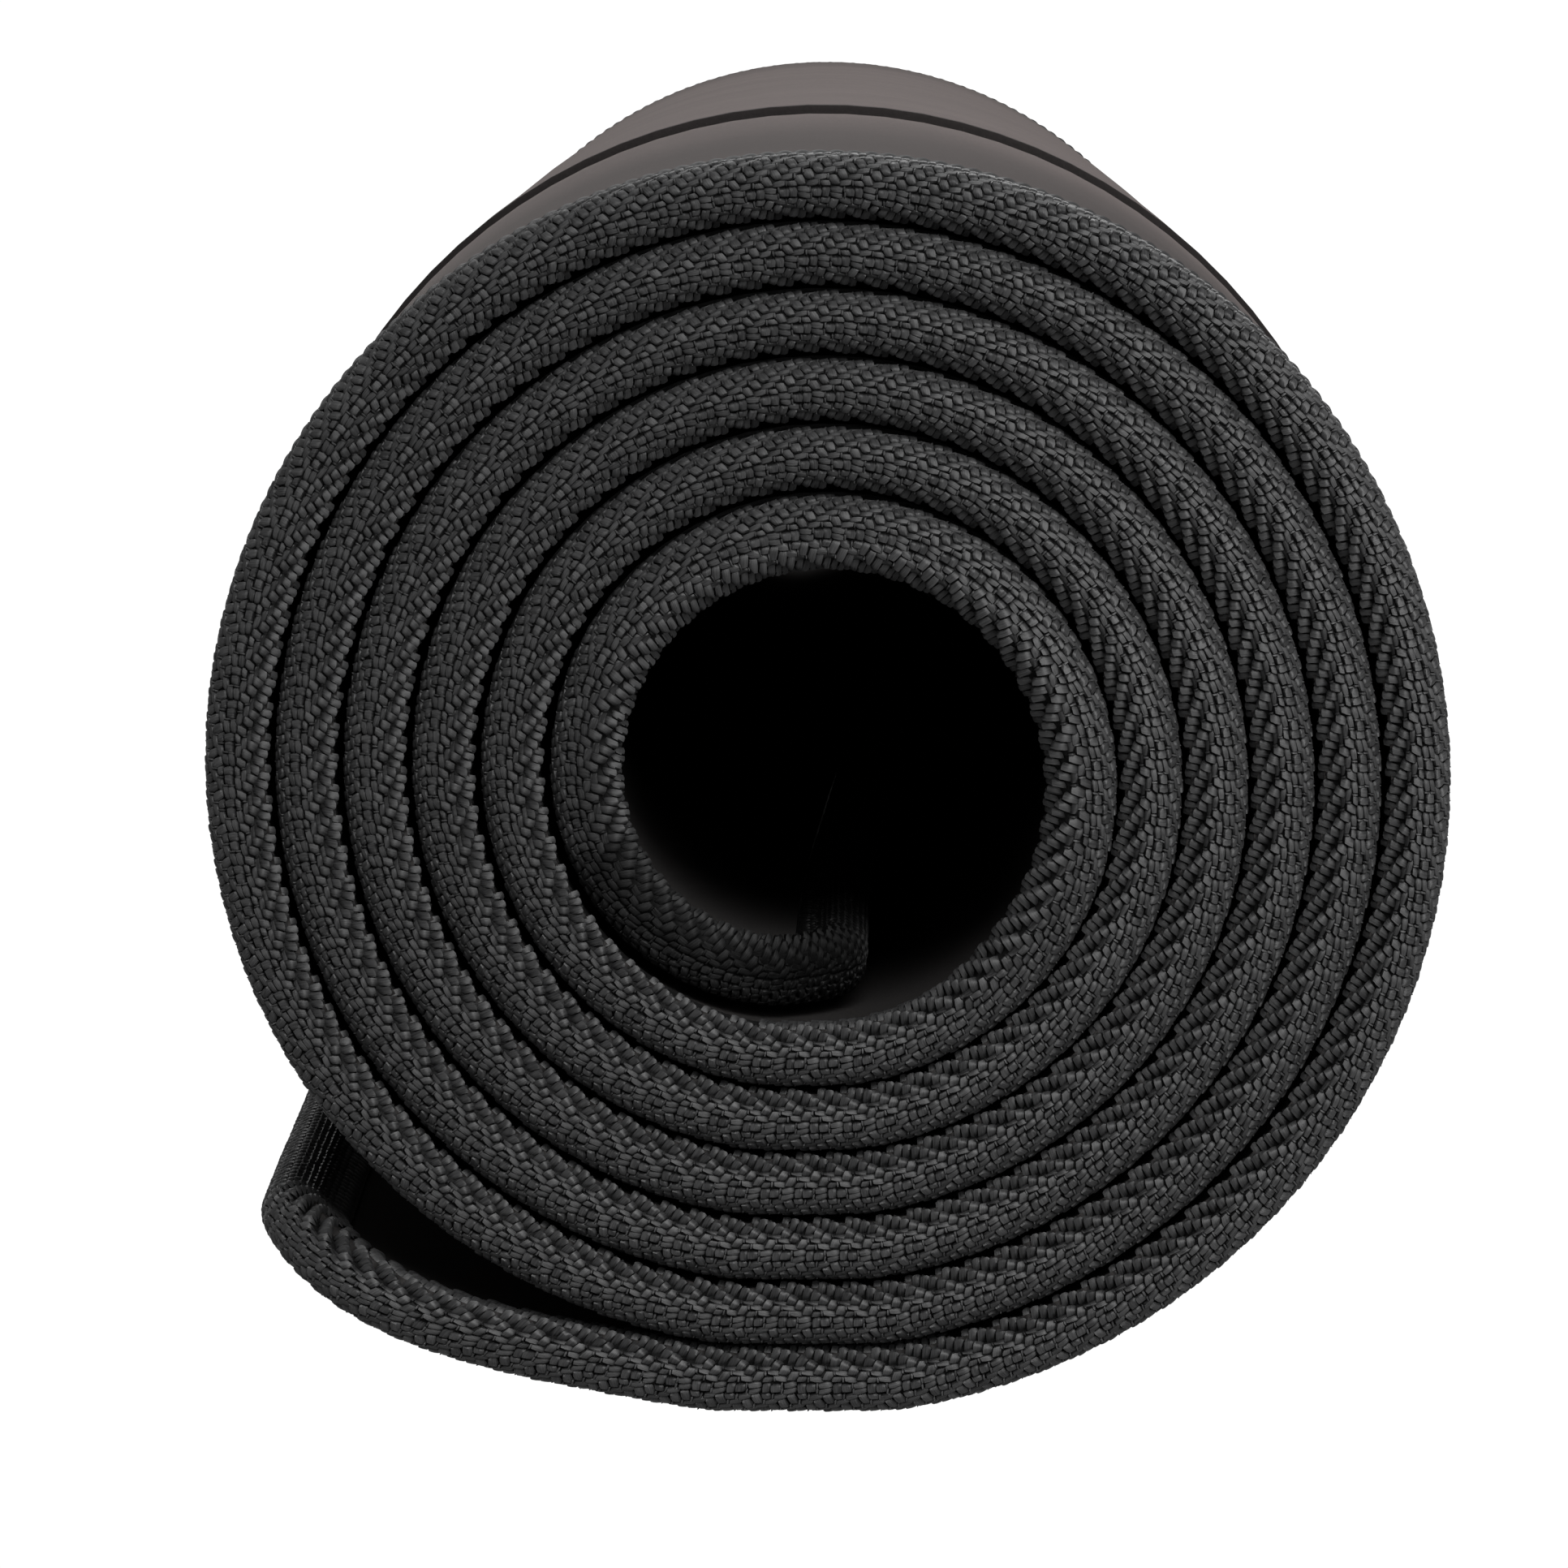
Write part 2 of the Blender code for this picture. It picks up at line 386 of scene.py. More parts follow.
def layer_stations(start, end):
    """Lengths along a layer, close together where its corners are rounded."""
    low, high = SHEET_INSET, MAT_LENGTH - SHEET_INSET
    radius = CORNER_RADIUS - SHEET_INSET
    bends = radius * (1 - np.cos(np.radians(np.arange(0, 90, 12))))
    first, last = float(turn_at(max(start, low))), float(turn_at(min(end, high)))
    middle = length_to(np.arange(first, last, TURN_STEP))
    if start <= 0:
        middle = np.concatenate([low + bends, middle[middle > low + radius]])
    if end >= MAT_LENGTH:
        middle = np.concatenate([middle[middle < high - radius], (high - bends)[::-1]])
    else:
        middle = np.append(middle, end)
    return middle


def layer_side(along):
    """Half the layer's width at this length along it."""
    radius = CORNER_RADIUS - SHEET_INSET
    from_end = np.minimum(along, MAT_LENGTH - along) - SHEET_INSET
    short = np.clip(radius - from_end, 0, radius)
    return SIDE - SHEET_INSET - radius + np.sqrt(np.maximum(radius**2 - short**2, 0))


def across_shares():
    """Places over a layer's width, as shares of its half: close together at the crease."""
    half = SIDE - SHEET_INSET
    even = np.linspace(-half, half, round(2 * half / ACROSS_STEP) + 1)
    knots = np.array(SWELL_PLACES[1:-1])
    close = np.arange(CREASE_NEAR - MM, CREASE_FAR + MM, CREASE_STEP)
    return np.unique(np.round(np.concatenate([even, knots, close]), 6)) / half


def layer_piece(name, start, end, low, high, material):
    """One layer of the sheet between two heights: a closed solid."""
    stations = layer_stations(start, end)
    share = across_shares()
    ribs = len(share)
    along = np.repeat(stations[:, None], 2 * ribs, axis=1)
    across = np.concatenate([share, share[::-1]])[None] * layer_side(stations)[:, None]
    height = np.concatenate([np.full(ribs, high), np.full(ribs, low)])[None] + 0 * along
    points = rolled(along.ravel(), across.ravel(), height.ravel())
    walls = grid_quads(len(stations), 2 * ribs, closed=True)
    pairs = np.arange(ribs - 1)
    lid = np.stack([pairs, pairs + 1, 2 * ribs - 2 - pairs, 2 * ribs - 1 - pairs], -1)
    base = (len(stations) - 1) * 2 * ribs
    quads = np.concatenate([walls, lid, lid[:, ::-1] + base])
    flat = np.stack([along.ravel(), across.ravel()], -1) / MM
    return mesh_piece(name, points, quads, [material], yarn=flat)


# ---- The woven edge ----

# How high a float stands, at places from one edge (-1) to the other (1): over its width, and
# along the rim, where each overlaps the one before it.
FINE_OVER = ((-1, 0.15), (-0.70, 0.90), (0, 1), (0.70, 0.90), (1, 0.15))
FINE_SHINGLE = ((-1, 0.10), (-0.84, 1), (-0.15, 0.95), (0.55, 0.80), (1, 0.30))
PLAIN_OVER = ((-1, 0.15), (0, 1), (1, 0.15))
PLAIN_SHINGLE = ((-1, 0.10), (-0.8, 1), (-0.1, 0.95), (1, 0.30))

# Floats narrow towards their ends and lean over to the next row, and their low edges are painted
# darker, a painted shade.
FLOAT_TAPER = 0.30
FLOAT_SKEW = 0.12
LOW_RISE = 0.2

# A furrow sunk this far shows no rim floats.
BARE_SUNK = 0.8


class Floats:
    """Visible stretches of yarn, as arrays with one entry for each.

    travel and girth place the middle, and half_travel and half_girth are half its size each way.
    lean and bow slant and bend it, top is its height, side is the side of the crown that it
    belongs to, and tone is how light it is, which holds painted shade and painted highlights.
    """

    FIELDS = ("travel", "girth", "half_travel", "half_girth", "lean", "bow", "top", "side", "tone")

    def __init__(self):
        self.columns = {field: [] for field in self.FIELDS}

    def add(self, **values):
        count = len(values["travel"])
        for field in self.FIELDS:
            self.columns[field].append(np.broadcast_to(values.get(field, 0.0), count))

    def arrays(self):
        return {field: np.concatenate(column) for field, column in self.columns.items()}


def row_floats(rim, cross, sliver, start, row, side):
    """The floats of one row. Towards the cloth side's hem the rim floats sink into furrows. Their
    tone holds painted shade: darker down in the furrows, and towards the rubber side's hem.
    """
    girth = side * (row - 0.5) * ROW
    sunk = smooth_step((row - 2) / 3.5) if side < 0 else 0.0
    # Painted shade: rows darken towards the hem on the rubber side, and as they sink into furrows on
    # the cloth side.
    tone = 1 - 0.55 * smooth_step((row - 5) / 5) if side > 0 else 1 - 0.4 * sunk
    if sunk < BARE_SUNK:
        rim.add(travel=start + RIM_AT, girth=girth, side=side, half_travel=RIM_HALF,
                half_girth=0.56 * ROW, lean=-0.15 * side, top=FLOAT_TOP - 0.15 * MM * sunk,
                tone=tone - 1.2 * sunk)
        # The slivers are painted 1.6 times lighter: a painted highlight on the floats' ends.
        sliver.add(travel=start + SLIVER_AT, girth=girth, side=side, half_travel=SLIVER_HALF,
                   half_girth=0.52 * ROW, top=CROSS_TOP, tone=1.6 * (tone - sunk))
    if row > 1:
        cross.add(travel=start + CROSS_AT, girth=side * row * ROW, side=side,
                  half_travel=CROSS_HALF + 0.02 * MM * sunk, half_girth=(0.90 + 0.25 * sunk) * ROW,
                  lean=0.45 * side, top=CROSS_TOP, tone=CROSS_PAINTED_SHEEN * tone)
    else:
        cross.add(travel=start + CROSS_AT, girth=side * 1.42 * ROW, side=side,
                  half_travel=CROSS_HALF, half_girth=0.50 * ROW, lean=0.45 * side,
                  top=CROSS_TOP, tone=CROSS_PAINTED_SHEEN)


def weave():
    """Floats along the rim, floats across it and the slivers between them."""
    rim, cross, sliver = Floats(), Floats(), Floats()
    starts = np.arange(round(LOOP / REPEAT)) * REPEAT
    for side in (1, -1):
        for row in range(1, ROWS_PER_SIDE + 1):
            row_floats(rim, cross, sliver, starts - (row - 1) * PICK, row, side)
    on_crown = {"girth": 0.0, "top": CROSS_TOP, "side": 1, "tone": CROSS_PAINTED_SHEEN}
    cross.add(travel=starts + 0.93 * MM, half_travel=0.25 * MM, half_girth=0.92 * ROW, bow=0.3,
              **on_crown)
    cross.add(travel=starts + 1.45 * MM, half_travel=0.32 * MM, half_girth=0.74 * ROW, bow=0.5,
              **on_crown)
    return [floats.arrays() for floats in (rim, cross, sliver)]


def in_bore(travel):
    """How deep in the bore's shade a place on the edge lies: the inner end and its own side."""
    turn = turn_at(np.clip(edge_place(travel)[0], 0, MAT_LENGTH))
    return smooth_step((turn - INNER_END_TURN) / math.radians(45) + 1)


def roughened(floats):
    """Small irregularities, the drift of the whole weave round the edge, and painted shade on the
    floats in the bore.
    """
    count = len(floats["travel"])
    drift = crown_drift(floats["travel"], edge_place(floats["travel"])[0])
    uneven = random.normal(size=(5, count))
    floats["girth"] = floats["girth"] + drift + 0.014 * MM * uneven[0]
    floats["travel"] = floats["travel"] + 0.018 * MM * uneven[1]
    floats["top"] = floats["top"] + 0.012 * MM * uneven[2]
    floats["lean"] = floats["lean"] + 0.06 * uneven[3]
    floats["half_travel"] = floats["half_travel"] * (1 + 0.05 * uneven[4])
    # Painted shade: floats darken the deeper they lie in the bore.
    floats["tone"] = floats["tone"] - 2.0 * in_bore(floats["travel"])
    return floats


def bared(floats):
    """True where a float can be seen. The seam's flat sides show only outside and in the bore."""
    along = edge_place(floats["travel"])[0]
    turn = turn_at(np.clip(along, 0, MAT_LENGTH))
    outside = turn < BARE_TURNS
    inside = turn > INNER_END_TURN - BARE_TURNS
    flap = turn < math.radians(62)
    girth = floats["girth"]
    open_side = np.where(girth > 0, outside, inside | flap)
    limit = np.where(open_side, SEAM_GIRTH - 0.0001, HIDDEN_GIRTH)
    return np.abs(girth) < limit


def pillows(floats, chosen, lengthwise, fine, pile, slot):
    """Adds a small curved patch for each chosen float to the pile."""
    p, q = (FINE_SHINGLE, FINE_OVER) if fine else (PLAIN_SHINGLE, PLAIN_OVER)
    p_place, p_rise = np.array(p).T[:, :, None]
    q_place, q_rise = np.array(q).T[:, None, :]
    p_grid, q_grid = p_place + 0 * q_place, q_place + 0 * p_place
    rise = p_rise * q_rise
    if lengthwise:
        q_grid = q_grid * (1 - FLOAT_TAPER * np.abs(p_grid) ** 3)
    else:
        p_grid = p_grid * (1 - FLOAT_TAPER * np.abs(q_grid) ** 3)
    pick = {field: values[chosen][:, None, None] for field, values in floats.items()}
    off = pick["half_girth"] * q_grid
    spread = pick["half_travel"] * p_grid
    lean = pick["lean"] * off + pick["bow"] * np.maximum(np.abs(off) - ROW / 2, 0)
    travel = pick["travel"] + spread + lean
    girth = pick["girth"] + off - FLOAT_SKEW * np.sign(pick["girth"]) * spread * lengthwise
    radius = FLOAT_EDGE + (pick["top"] - FLOAT_EDGE) * rise
    points = on_seam(travel.ravel(), girth.ravel(), radius.ravel())
    count = int(chosen.sum())
    quads = repeated_quads(grid_quads(len(p), len(q)), len(p) * len(q), count)
    along_yarn, over_yarn = (spread, off) if lengthwise else (off, spread)
    start = random.uniform(0, 90, size=(2, count, 1, 1))
    yarn = np.stack([(along_yarn / MM + start[0]).ravel(), (over_yarn / MM + start[1]).ravel()], -1)
    # Painted shade and highlight: each float lighter towards its top and darker at its low edges, on
    # a random tone.
    seams = 0.55 * (p_rise < LOW_RISE) + 0.15 * (q_rise < LOW_RISE)
    shade = pick["tone"] * random.uniform(0.3, 1, (count, 1, 1)) * rise - seams
    pile.add(points, quads, slot, yarn, shade.ravel())


def bed_strip(travel_start, travel_end, side, pile, slot):
    """The thread bed under the floats, on one side of the crown, painted dark: painted shade between
    the floats.
    """
    count = round((travel_end - travel_start) / REPEAT * BED_STEPS) + 1
    travel = np.linspace(travel_start, travel_end, count)
    turned_down = [SEAM_GIRTH + 0.08 * MM, SEAM_GIRTH + 0.10 * MM]
    girth = np.append(np.linspace(0, SEAM_GIRTH, BED_COLUMNS), turned_down)
    radius = np.append(np.full(BED_COLUMNS, BED_RADIUS),
                       [BED_RADIUS - 0.10 * MM, SHEET_HALF - 0.05 * MM])
    grid = np.broadcast_arrays(travel[:, None], side * girth[None], radius[None])
    points = on_seam(*(part.ravel() for part in grid))
    quads = grid_quads(count, len(girth))
    yarn = np.stack([grid[0].ravel(), grid[1].ravel()], -1) / MM
    pile.add(points, quads, slot, yarn, np.full(len(points), 0.1))


def tube(path, across_dir, up_dir, radius, sides):
    """Points of a tube round a path, given two directions across it."""
    turn = np.arange(sides) * 2 * math.pi / sides
    across = np.cos(turn)[None, :, None] * across_dir[:, None]
    up = np.sin(turn)[None, :, None] * up_dir[:, None]
    return path[:, None] + radius * (across + up)


def chain_strand(travel, turned, swing, sides, pile):
    """One strand of the needle thread's chain, turned by an angle where the strands are twisted."""
    phase = 2 * math.pi * travel / REPEAT + turned
    girth = SEAM_GIRTH + CHAIN_GAP + swing * np.cos(phase)
    height = SHEET_HALF + CHAIN_HEIGHT + 0.8 * swing * (1 + np.sin(phase))
    path = on_seam(travel, girth, height)
    nearby = 0.1 * MM
    side_dir = (on_seam(travel, girth + nearby, height) - path) / nearby
    up_dir = (on_seam(travel, girth, height + nearby) - path) / nearby
    points = tube(path, side_dir, up_dir, STRAND_RADIUS, sides).reshape(-1, 3)
    quads = grid_quads(len(travel), sides, closed=True)
    over = np.tile(np.linspace(0, 0.9, sides), len(travel))
    yarn = np.stack([np.repeat(travel, sides) / MM, over], -1)
    pile.add(points, quads, 0, yarn, np.full(len(points), 0.6))


def chain_thread(name, stretches, material):
    """The needle thread's chain on the rubber side, as one plain strand where it is hidden."""
    pile = Pile()
    for start, end, twisted in stretches:
        step = REPEAT / 12 if twisted else REPEAT
        travel = np.linspace(start, end, max(2, round((end - start) / step) + 1))
        if twisted:
            chain_strand(travel, 0, CHAIN_SWING, 7, pile)
            chain_strand(travel, math.pi, CHAIN_SWING, 7, pile)
        else:
            chain_strand(travel, 0, 0, 4, pile)
    return pile.make(name, [material])


# ---- Materials ----

def principled(name, colour, roughness, **inputs):
    material = bpy.data.materials.new(name)
    material.use_nodes = True
    shader = material.node_tree.nodes["Principled BSDF"]
    shader.inputs["Base Color"].default_value = (*colour, 1)
    shader.inputs["Roughness"].default_value = roughness
    for socket, value in inputs.items():
        shader.inputs[socket.replace("_", " ")].default_value = value
    return material, material.node_tree, shader


def add_node(tree, kind, inputs=None, **settings):
    made = tree.nodes.new(kind)
    for setting, value in settings.items():
        setattr(made, setting, value)
    for socket, value in (inputs or {}).items():
        if isinstance(value, bpy.types.NodeSocket):
            tree.links.new(value, made.inputs[socket])
        else:
            made.inputs[socket].default_value = value
    return made


def colour_mix(tree, share, dark, light):
    mixed = add_node(tree, "ShaderNodeMix", {"Factor": share}, data_type="RGBA")
    mixed.inputs["A"].default_value = (*dark, 1)
    mixed.inputs["B"].default_value = (*light, 1)
    return mixed.outputs["Result"]


def ramp(tree, value, start, end, low, high):
    """A smooth step between two values of its input."""
    limits = {"Value": value, "From Min": start, "From Max": end, "To Min": low, "To Max": high}
    step = add_node(tree, "ShaderNodeMapRange", limits, interpolation_type="SMOOTHSTEP")
    return step.outputs["Result"]


def thread_material(name, dark, light, specular):
    """Spun polyester: fine filaments along each float, each float a little lighter or darker, with
    painted shade and highlights from the shade attribute.
    """
    middle = tuple((a + b) / 2 for a, b in zip(dark, light))
    material, tree, shader = principled(
        name, middle, 0.48, Specular_IOR_Level=specular, Anisotropic=0.85,
        Anisotropic_Rotation=0.25)
    place = add_node(tree, "ShaderNodeUVMap", uv_map="yarn").outputs["UV"]
    stretched = add_node(tree, "ShaderNodeMapping", {"Vector": place, "Scale": (1.6, 17, 1)})
    fibre = add_node(tree, "ShaderNodeTexNoise",
                     {"Vector": stretched.outputs["Vector"], "Scale": 1.0, "Detail": 3.0})
    shade = add_node(tree, "ShaderNodeAttribute", attribute_name="shade").outputs["Fac"]
    share = add_node(tree, "ShaderNodeMix", {"Factor": 0.6}, data_type="FLOAT")
    tree.links.new(ramp(tree, fibre.outputs["Fac"], 0.33, 0.67, 0, 1), share.inputs["A"])
    tree.links.new(shade, share.inputs["B"])
    base = colour_mix(tree, share.outputs["Result"], dark, light)
    tree.links.new(base, shader.inputs["Base Color"])
    bump = add_node(tree, "ShaderNodeBump",
                    {"Height": fibre.outputs["Fac"], "Strength": 0.55, "Distance": 0.00004})
    tree.links.new(bump.outputs["Normal"], shader.inputs["Normal"])
    tangent = add_node(tree, "ShaderNodeTangent", direction_type="UV_MAP", uv_map="yarn")
    tree.links.new(tangent.outputs["Tangent"], shader.inputs["Tangent"])
    return material


def rubber_painted_shade(tree):
    """Painted shade on the rubber: in the crease, sharp at its near side, and towards the hems."""
    flat = add_node(tree, "ShaderNodeUVMap", uv_map="yarn").outputs["UV"]
    across = add_node(tree, "ShaderNodeSeparateXYZ", {"Vector": flat}).outputs["Y"]
    # The crease's painted shade: dark just behind its near side, fading out beyond its far side.
    near = ramp(tree, across, CREASE_NEAR / MM, CREASE_NEAR / MM + 0.4, 0, 0.9)
    beyond = ramp(tree, across, CREASE_FAR / MM - 0.6, CREASE_FAR / MM + 6, 1, 0)
    crease = add_node(tree, "ShaderNodeMath", {0: near, 1: beyond}, operation="MULTIPLY")
    # Painted shade towards both hems, stronger at the front.
    front_hem = ramp(tree, across, -165, -105, 0.62, 0)
    rear_hem = ramp(tree, across, 120, 200, 0, 0.4)
    darkest = crease.outputs["Value"]
    for hem in (front_hem, rear_hem):
        darker = add_node(tree, "ShaderNodeMath", {0: darkest, 1: hem}, operation="MAXIMUM")
        darkest = darker.outputs["Value"]
    return darkest


def rubber_material():
    """Natural rubber with a fine grain and pale specks, with painted shade in the crease and towards
    the hems.
    """
    material, tree, shader = principled(
        "rubber", (0.070, 0.061, 0.059), 0.8, Specular_IOR_Level=0.03, Sheen_Weight=0.05,
        Sheen_Roughness=0.4, Sheen_Tint=(1, 0.93, 0.90, 1))
    place = add_node(tree, "ShaderNodeTexCoord").outputs["Object"]
    grain = add_node(tree, "ShaderNodeTexNoise", {"Vector": place, "Scale": 3600.0, "Detail": 4.0})
    blotch = add_node(tree, "ShaderNodeTexNoise", {"Vector": place, "Scale": 60.0, "Detail": 3.0})
    speck = add_node(tree, "ShaderNodeTexVoronoi", {"Vector": place, "Scale": 2600.0})
    bright = add_node(tree, "ShaderNodeMapRange",
                      {"Value": speck.outputs["Distance"], "From Min": 0.10, "From Max": 0.0})
    tone = add_node(tree, "ShaderNodeMix", {"Factor": 0.3}, data_type="FLOAT")
    tree.links.new(grain.outputs["Fac"], tone.inputs["A"])
    tree.links.new(blotch.outputs["Fac"], tone.inputs["B"])
    dark, light = (0.034, 0.0295, 0.0286), (0.120, 0.0980, 0.0950)
    base = colour_mix(tree, tone.outputs["Result"], dark, light)
    specked = add_node(tree, "ShaderNodeMix", {"Factor": bright.outputs["Result"]},
                       data_type="RGBA")
    tree.links.new(base, specked.inputs["A"])
    specked.inputs["B"].default_value = (0.25, 0.24, 0.235, 1)
    # Mixes the painted shade in, towards near black.
    shaded = add_node(tree, "ShaderNodeMix", {"Factor": rubber_painted_shade(tree)}, data_type="RGBA")
    tree.links.new(specked.outputs["Result"], shaded.inputs["A"])
    shaded.inputs["B"].default_value = (0.004, 0.004, 0.004, 1)
    tree.links.new(shaded.outputs["Result"], shader.inputs["Base Color"])
    bump = add_node(tree, "ShaderNodeBump",
                    {"Height": grain.outputs["Fac"], "Strength": 0.6, "Distance": 0.00008})
    tree.links.new(bump.outputs["Normal"], shader.inputs["Normal"])
    return material


def cloth_material():
    """Black knit face with a fine diagonal grain."""
    material, tree, shader = principled(
        "cloth", (0.006, 0.0056, 0.0056), 1.0, Specular_IOR_Level=0.0)
    place = add_node(tree, "ShaderNodeUVMap", uv_map="yarn").outputs["UV"]
    ribs = add_node(tree, "ShaderNodeTexWave",
                    {"Vector": place, "Scale": 1.1, "Distortion": 1.2, "Detail": 2.0,
                     "Detail Scale": 3.0}, bands_direction="DIAGONAL")
    fuzz = add_node(tree, "ShaderNodeTexNoise", {"Vector": place, "Scale": 6.0, "Detail": 4.0})
    tone = add_node(tree, "ShaderNodeMix", {"Factor": 0.5}, data_type="FLOAT")
    tree.links.new(ribs.outputs["Fac"], tone.inputs["A"])
    tree.links.new(fuzz.outputs["Fac"], tone.inputs["B"])
    dark, light = (0.005, 0.0048, 0.0047), (0.034, 0.0321, 0.0315)
    base = colour_mix(tree, tone.outputs["Result"], dark, light)
    tree.links.new(base, shader.inputs["Base Color"])
    bump = add_node(tree, "ShaderNodeBump",
                    {"Height": tone.outputs["Result"], "Strength": 0.5, "Distance": 0.00006})
    tree.links.new(bump.outputs["Normal"], shader.inputs["Normal"])
    return material


def film_material():
    """Thin glue film between the layers."""
    material, tree, shader = principled("film", (0.06, 0.06, 0.06), 0.45)
    place = add_node(tree, "ShaderNodeTexCoord").outputs["Object"]
    cloud = add_node(tree, "ShaderNodeTexNoise", {"Vector": place, "Scale": 220.0, "Detail": 3.0})
    base = colour_mix(tree, cloud.outputs["Fac"], (0.045, 0.045, 0.045), (0.08, 0.08, 0.08))
    tree.links.new(base, shader.inputs["Base Color"])
    return material


# ---- The pieces ----

# Where the pieces are cut: the free end from the roll, both in length and in travel at the front
# and the rear, the front seam's outer turns from its inner ones, and the part in the bore's shade.
SPLIT = float(length_to(SPLIT_TURN))
FRONT_SPLIT = SPLIT - NEAR
REAR_SPLIT = LEG_STARTS[5] - FRONT_SPLIT
FRONT_MIDDLE = 0.44 - NEAR
SHADED_START = LEG_STARTS[1] - 0.008
HALF_CORNER = math.pi / 4 * CORNER_RADIUS
REAR_START = LEG_STARTS[3] + HALF_CORNER

# Each stretch of the seam: name, travel from, travel to, and whether its floats are finely made.
STRETCHES = (
    ("outer_end_front", -HALF_CORNER, FRONT_SPLIT, True),
    ("front_outer_turns", FRONT_SPLIT, FRONT_MIDDLE, True),
    ("front_inner_turns", FRONT_MIDDLE, SHADED_START, True),
    ("inner_end", SHADED_START, REAR_START, True),
    ("rear", REAR_START, REAR_SPLIT, False),
    ("outer_end_side", REAR_SPLIT, LOOP - HALF_CORNER, True),
)


def attach(piece, nodes, flexes):
    """Attaches a piece to the roll's body, or bakes its place into its points if it flexes, and
    hides the CAD nodes it stands for.
    """
    if flexes:
        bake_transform(piece)
    else:
        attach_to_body(piece, "roll")
    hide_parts(*nodes)
    return piece


def seam_pieces(thread, shaded, bed):
    """The looper threads' woven cover, in stretches, above and below the crown."""
    kinds = [roughened(floats) for floats in weave()]
    made = []
    for name, start, end, fine in STRETCHES:
        body = "outer_end" if name.startswith("outer_end") else "roll"
        for side, level in ((1, "upper"), (-1, "lower")):
            pile = Pile()
            bed_strip(start, end, side, pile, 1)
            for floats, lengthwise in zip(kinds, (True, False, False)):
                travel = np.mod(floats["travel"] - start, LOOP)
                chosen = (travel < end - start) & (floats["side"] == side) & bared(floats)
                pillows(floats, chosen, lengthwise, fine, pile, 0)
            # The inner end's floats take the darker copy of the thread, painted shade in the bore.
            surface = shaded if name == "inner_end" else thread
            piece = pile.make(f"{name}_{level}_seam", [surface, bed])
            stands_for = [f"{body}_{level}_looper_thread"]
            made.append(attach(piece, stands_for, body == "outer_end"))
    return made


def needle_pieces(thread):
    """The needle thread's chain, twisted where it can be seen."""
    bare_end = length_to(math.radians(380)) - NEAR
    rear_bare = LEG_STARTS[5] - bare_end
    flap = chain_thread("outer_end_needle_chain", [(REAR_SPLIT - LOOP, FRONT_SPLIT, True)], thread)
    main = chain_thread("roll_needle_chain", [
        (FRONT_SPLIT, bare_end, True), (bare_end, rear_bare, False), (rear_bare, REAR_SPLIT, True),
    ], thread)
    return [attach(flap, ["outer_end_needle_thread"], True),
            attach(main, ["roll_needle_thread"], False)]


def layer_pieces():
    """The cloth, film and rubber, each in two pieces that meet just beyond the bend."""
    cloth_top = -SHEET_HALF + CLOTH_THICKNESS
    film_low = cloth_top + BOND_GAP
    film_top = film_low + FILM_THICKNESS
    layers = (
        ("cloth_face", "cloth", -SHEET_HALF, cloth_top, cloth_material()),
        ("bond_film", "film", film_low, film_top, film_material()),
        ("rubber_base", "rubber", film_top + BOND_GAP, SHEET_HALF, rubber_material()),
    )
    made = {}
    for name, slot, low, high, material in layers:
        for body, start, end in (("outer_end", 0, SPLIT), ("roll", SPLIT, MAT_LENGTH)):
            piece = layer_piece(f"{body}_{slot}", start, end, low, high, material)
            made[body, slot] = attach(piece, [f"{body}_{name}"], body == "outer_end")
    return made


# ---- Camera, light and floor ----

def make_camera():
    """Looks into the roll's front end from a little above, as the photograph does."""
    across, up = (value / FOCAL_PIXELS for value in AXIS_DIRECTION)
    world_y = Vector((across, up, -1)).normalized()
    world_z = Vector((0, -world_y.z, world_y.y)).normalized()
    world_x = world_y.cross(world_z)
    to_world = Matrix((world_x, world_y, world_z))
    offset = Vector((AXIS_OFFSET[0] / FOCAL_PIXELS, AXIS_OFFSET[1] / FOCAL_PIXELS, -1))
    data = bpy.data.cameras.new("camera")
    data.sensor_width = 36
    data.lens = 36 * FOCAL_PIXELS / FRAME_PIXELS
    data.clip_start, data.clip_end = 0.05, 20
    camera = bpy.data.objects.new("camera", data)
    bpy.context.scene.collection.objects.link(camera)
    place = Vector((AXIS_X, -SIDE, AXIS_Z)) - to_world @ (offset * FRONT_DISTANCE)
    camera.matrix_world = Matrix.Translation(place) @ to_world.to_4x4()
    bpy.context.scene.camera = camera


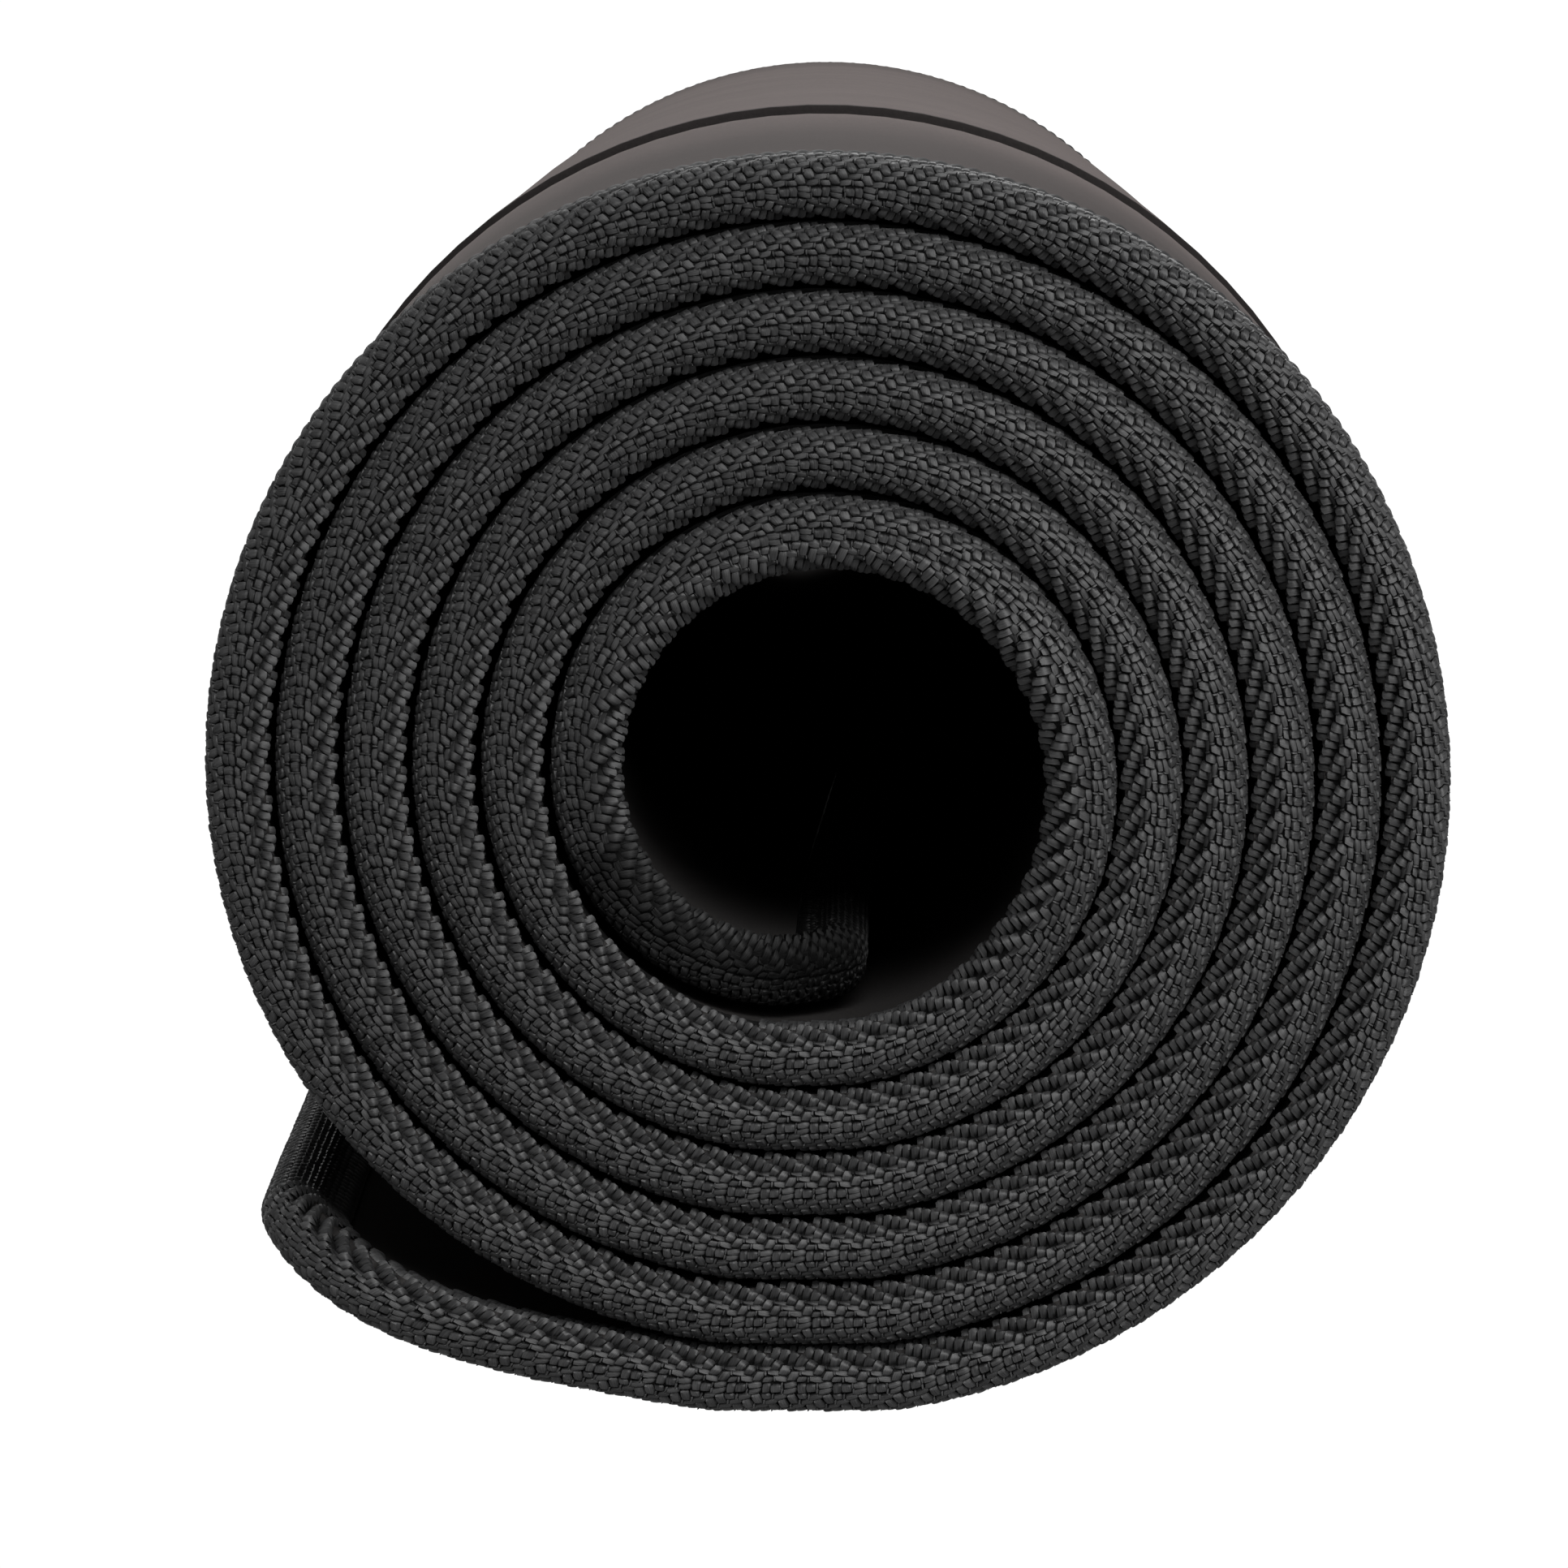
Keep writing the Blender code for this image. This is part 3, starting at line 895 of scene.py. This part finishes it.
def area_light(name, place, target, size, power):
    data = bpy.data.lights.new(name, "AREA")
    data.shape = "DISK"
    data.size = size
    data.energy = power
    light = bpy.data.objects.new(name, data)
    light.location = place
    light.rotation_euler = (Vector(target) - Vector(place)).to_track_quat("-Z", "Y").to_euler()
    bpy.context.scene.collection.objects.link(light)


def glowing(tree, shader):
    """Sets a shader to look white to the camera while it lights the object only a little."""
    path = add_node(tree, "ShaderNodeLightPath")
    strength = add_node(tree, "ShaderNodeMapRange", {"Value": path.outputs["Is Camera Ray"]})
    strength.inputs["To Min"].default_value = AMBIENT
    strength.inputs["To Max"].default_value = BACKDROP
    tree.links.new(strength.outputs["Result"], shader.inputs["Strength"])
    shader.inputs["Color"].default_value = (1, 1, 1, 1)


def make_floor():
    mesh = bpy.data.meshes.new("floor")
    reach = 6
    corners = [(-reach, -reach, 0), (reach, -reach, 0), (reach, reach, 0), (-reach, reach, 0)]
    mesh.from_pydata(corners, [], [(0, 1, 2, 3)])
    material = bpy.data.materials.new("floor")
    material.use_nodes = True
    tree = material.node_tree
    tree.nodes.clear()
    glow = add_node(tree, "ShaderNodeEmission")
    glowing(tree, glow)
    add_node(tree, "ShaderNodeOutputMaterial", {"Surface": glow.outputs["Emission"]})
    mesh.materials.append(material)
    floor = bpy.data.objects.new("floor", mesh)
    bpy.context.scene.collection.objects.link(floor)


def make_studio():
    """A white floor and backdrop, with soft boxes in front, at the right and overhead."""
    world = bpy.data.worlds.new("studio")
    bpy.context.scene.world = world
    world.use_nodes = True
    glowing(world.node_tree, world.node_tree.nodes["Background"])
    for soft_box in SOFT_BOXES:
        area_light(*soft_box)
    make_floor()


def main():
    make_camera()
    make_studio()
    bpy.context.scene.view_settings.view_transform = "Standard"
    thread = thread_material("thread", (0.004, 0.004, 0.0042), (0.042, 0.042, 0.0425), 0.30)
    # A darker, duller copy of the thread for the bed: painted shade in the gaps between floats.
    bed = thread_material("thread_bed_painted_shade", (0.002, 0.002, 0.002), (0.010, 0.010, 0.010), 0.05)
    layers = layer_pieces()
    # A darker copy of the thread: painted shade for the inner end in the bore.
    shaded = thread_material("thread_painted_bore_shade", (0.003, 0.003, 0.003), (0.024, 0.024, 0.0242), 0.10)
    seams = seam_pieces(thread, shaded, bed) + needle_pieces(thread)


main()
